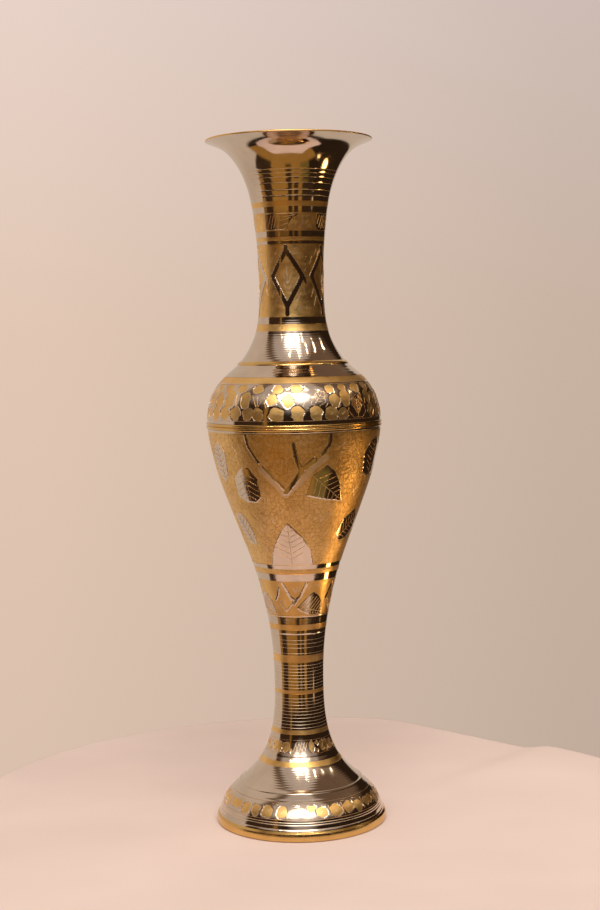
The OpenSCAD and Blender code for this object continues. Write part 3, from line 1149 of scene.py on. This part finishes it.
def table():
    """A small table under a plain cloth, with one soft fold."""
    outline = table_edge()
    n = len(outline)
    points = [(TABLE_X, TABLE_Y, folded(TABLE_X, TABLE_Y))]
    # How far out, how much lower, and how much of the fold is left.
    rings = [(k, 0, 1) for k in np.linspace(0, 1, 60)[1:]]
    rings += [(1.008, 0.0013, 0.9), (1.014, 0.006, 0.7), (1.016, 0.05, 0.2), (1.03, 0.5, 0)]
    for k, drop, left in rings:
        for x, y in outline:
            height = folded(TABLE_X + x * min(k, 1), TABLE_Y + y * min(k, 1))
            points.append((TABLE_X + x * k, TABLE_Y + y * k, height * left - drop))
    faces = [(0, 1 + k, 1 + (k + 1) % n) for k in range(n)]
    for ring in range((len(points) - 1) // n - 1):
        for k in range(n):
            a, b = 1 + ring * n + k, 1 + ring * n + (k + 1) % n
            faces.append((a, a + n, b + n, b))
    data = bpy.data.meshes.new("table")
    data.from_pydata(points, [], faces)
    data.update()
    data.shade_smooth()
    data.materials.append(cloth_material())
    placed("table", data)


table()

PALE = (0.63, 0.52, 0.43)
AMBER = (0.36, 0.18, 0.04)
DIM = (0.046, 0.024, 0.012)
DARK = (0.027, 0.015, 0.008)
SOFT = (0.56, 0.48, 0.43)
HALF = (0.17, 0.11, 0.07)
OLIVE = (0.19, 0.13, 0.03)
# The room in five layers from the ground up, each in stretches of colour round the vase.
BELOW = [(-120, DARK), (80, AMBER), (183, DARK)]
LOWER = [
    (-92, PALE), (-50, DIM), (-9, AMBER), (7, DIM), (34, AMBER), (58, OLIVE), (158, DARK),
    (183, PALE),
]
LEVEL = [
    (-86, PALE), (-74, AMBER), (-50, DIM), (-3, AMBER), (9, DIM), (14, AMBER), (27, DIM),
    (38, AMBER), (72, DIM), (158, DARK), (183, PALE),
]
HIGH = [(-84, PALE), (-39, DIM), (-34, AMBER), (158, DARK), (183, PALE)]
ABOVE = [(-84, PALE), (-62, HALF), (66, SOFT), (160, HALF), (183, PALE)]
ABOVE_EDGE = 10
# Degrees above the horizon from where to where each layer passes into the next.
LAYERS = [(-52, -48), (-32, -27), (-12, -3), (26, 36)]
# Soft lights: turn and rise in compass degrees, the degrees each fades from and to, its colour.
LAMPS = [
    ((2, 44), 10, 30, (0.9, 0.82, 0.78)),
    ((26, 61), 1, 5, (3, 2.8, 2.6)),
    ((-13, 44), 3, 13, (5, 4.7, 4.4)),
    ((11, 44), 3, 13, (5, 4.7, 4.4)),
    ((101, -31), 2.5, 7, (12, 7, 2.3)),
    ((86, -47), 1, 3, (4, 2.4, 1)),
    ((71, -12), 1, 3, (1.2, 0.8, 0.4)),
]
# Painted light on the backdrop the camera sees: its colour runs from lighter on the left to
# darker on the right, where the room is dark.
BACKDROP_PAINTED_FALLOFF = [
    (0.3, (0.80, 0.62, 0.505)), (0.42, (0.775, 0.60, 0.49)), (0.58, (0.60, 0.475, 0.395)),
    (0.7, (0.55, 0.435, 0.37)),
]
# More painted light on that backdrop: darker towards the bottom, lighter and bluer towards the
# top.
BACKDROP_PAINTED_RISE = [(0.35, (0.89, 0.87, 0.84)), (0.5, (0.97, 0.95, 0.92)), (0.62, (1.05, 1.10, 1.22))]


def blocks(spans, edge=2.5):
    """Ramp stops for flat stretches of colour with soft edges, each given as its end and colour.
    The ends are compass degrees, 0 towards the camera and 90 to its right."""
    stops, start = [], -180
    for end, colour in spans:
        stops += [(start, colour), (end - edge, colour)]
        start = end
    return [((at + 180) / 360, colour) for at, colour in stops]


def maths(tree, how, *values):
    return add_node(tree, "Math", dict(enumerate(values)), operation=how).outputs[0]


def towards(turn, rise):
    """The direction at compass degrees turn and rise, seen from the vase."""
    a, up = math.radians(turn), math.radians(rise)
    return Vector((math.sin(a) * math.cos(up), -math.cos(a) * math.cos(up), math.sin(up)))


def glow(tree, direction, turn, rise, inner, outer):
    """1 inside a round patch of sky at turn and rise, fading to 0 from inner to outer degrees."""
    inputs = {0: direction, 1: towards(turn, rise)}
    dot = add_node(tree, "VectorMath", inputs, operation="DOT_PRODUCT")
    near_to, far_from = math.cos(math.radians(inner)), math.cos(math.radians(outer))
    return spread(tree, dot.outputs["Value"], 0, 1, far_from, near_to)


def world():
    """A studio room: a pale wall behind and to the left, amber and dark bars in front, dark to
    the right, and a soft light above. The camera itself sees a pale backdrop with painted light
    on it: lighter to the left, darker to the right, and lighter and bluer towards the top."""
    scene = bpy.context.scene
    scene.world = bpy.data.worlds.new("studio")
    scene.world.use_nodes = True
    tree = scene.world.node_tree
    direction = add_node(tree, "TexCoord", {}).outputs["Generated"]
    x, y, z = add_node(tree, "SeparateXYZ", {0: direction}).outputs
    turn = maths(tree, "ARCTAN2", x, maths(tree, "MULTIPLY", y, -1))
    turn = maths(tree, "ADD", maths(tree, "MULTIPLY", turn, 1 / (2 * math.pi)), 0.5)
    rise = maths(tree, "MULTIPLY", maths(tree, "ARCSINE", z), 180 / math.pi)

    below, lower, level, high = (
        ramp(tree, turn, blocks(spans)) for spans in (BELOW, LOWER, LEVEL, HIGH)
    )
    above = ramp(tree, turn, blocks(ABOVE, ABOVE_EDGE))
    room = below
    for (start, end), upper in zip(LAYERS, (lower, level, high, above)):
        room = blend(tree, spread(tree, rise, 0, 1, start, end), room, upper)
    for place, inner, outer, light in LAMPS:
        room = blend(tree, glow(tree, direction, *place, inner, outer), room, light)

    # The backdrop's colour carries painted light: lighter on the left, darker on the right,
    # lighter and bluer at the top.
    wall = ramp(tree, spread(tree, x, 0, 1, -1, 1), BACKDROP_PAINTED_FALLOFF)
    painted_rise = ramp(tree, spread(tree, z, 0, 1, -1, 1), BACKDROP_PAINTED_RISE)
    backdrop = blend(tree, 1, wall, painted_rise, "MULTIPLY")
    seen = add_node(tree, "LightPath", {}).outputs["Is Camera Ray"]
    colour = blend(tree, seen, room, backdrop)
    feed(tree.nodes["Background"], {"Color": colour, "Strength": 1.0})


world()


SPOTS = [(-34, 36), (-12, 64), (24, 64), (32, 40), (50, 54), (72, 44), (100, 34)]
SPOT_AWAY = 2.4
SPOT_RADIUS = 0.012
SPOT_POWER = 7
SPOT_CENTRE = Vector((0, 0, 0.25))


def lamp(name, kind, energy, colour, at):
    """A light of some kind at a place."""
    data = bpy.data.lights.new(name, kind)
    data.energy = energy
    data.color = colour
    ob = placed(name, data)
    ob.location = at
    return ob


def spots():
    """Small round lamps, whose points of light show on the plate."""
    for count, place in enumerate(SPOTS):
        at = SPOT_CENTRE + SPOT_AWAY * towards(*place)
        ob = lamp(f"lamp_{count + 1}", "POINT", SPOT_POWER, (1.0, 0.86, 0.62), at)
        ob.data.shadow_soft_size = SPOT_RADIUS


spots()

CAMERA_D = 2.33 * HEIGHT * MM
CAMERA_Z = 0.725 * HEIGHT * MM
CAMERA_X = 0.0031
PITCH = 4.5
ROLL = -1.11
FOCAL = 62.9
SENSOR = 36


def camera():
    """The camera, a little above the middle of the vase and looking slightly down."""
    data = bpy.data.cameras.new("camera")
    data.sensor_width = SENSOR
    data.lens = FOCAL
    data.clip_start = 0.01
    data.clip_end = 20
    ob = placed("camera", data)
    ob.location = (CAMERA_X, -CAMERA_D, CAMERA_Z)
    ob.rotation_euler = (math.radians(90 - PITCH), 0, 0)
    ob.rotation_euler.rotate_axis("Z", math.radians(ROLL))
    bpy.context.scene.camera = ob


camera()


def overhead():
    """A broad soft light for the table, kept out of the metal's reflections."""
    ob = lamp("overhead", "AREA", 7.6, (1.0, 0.97, 0.94), (0.2, -0.3, 1.7))
    ob.data.shape = "DISK"
    ob.data.size = 1.4
    ob.visible_glossy = False
    ob.visible_camera = False


overhead()


def main_lamp():
    """The wide soft lamp over the camera, whose shape shows on the plate."""
    ob = lamp("main_lamp", "AREA", 1.6, (1.0, 0.97, 0.93), (0, -0.65, 0.89))
    ob.data.shape = "ELLIPSE"
    ob.data.size, ob.data.size_y = 0.5, 0.2
    aim = Vector((0, 0, 0.2)) - ob.location
    ob.rotation_euler = aim.to_track_quat("-Z", "Y").to_euler()
    ob.visible_camera = False


main_lamp()
bpy.context.scene.view_settings.view_transform = "Standard"
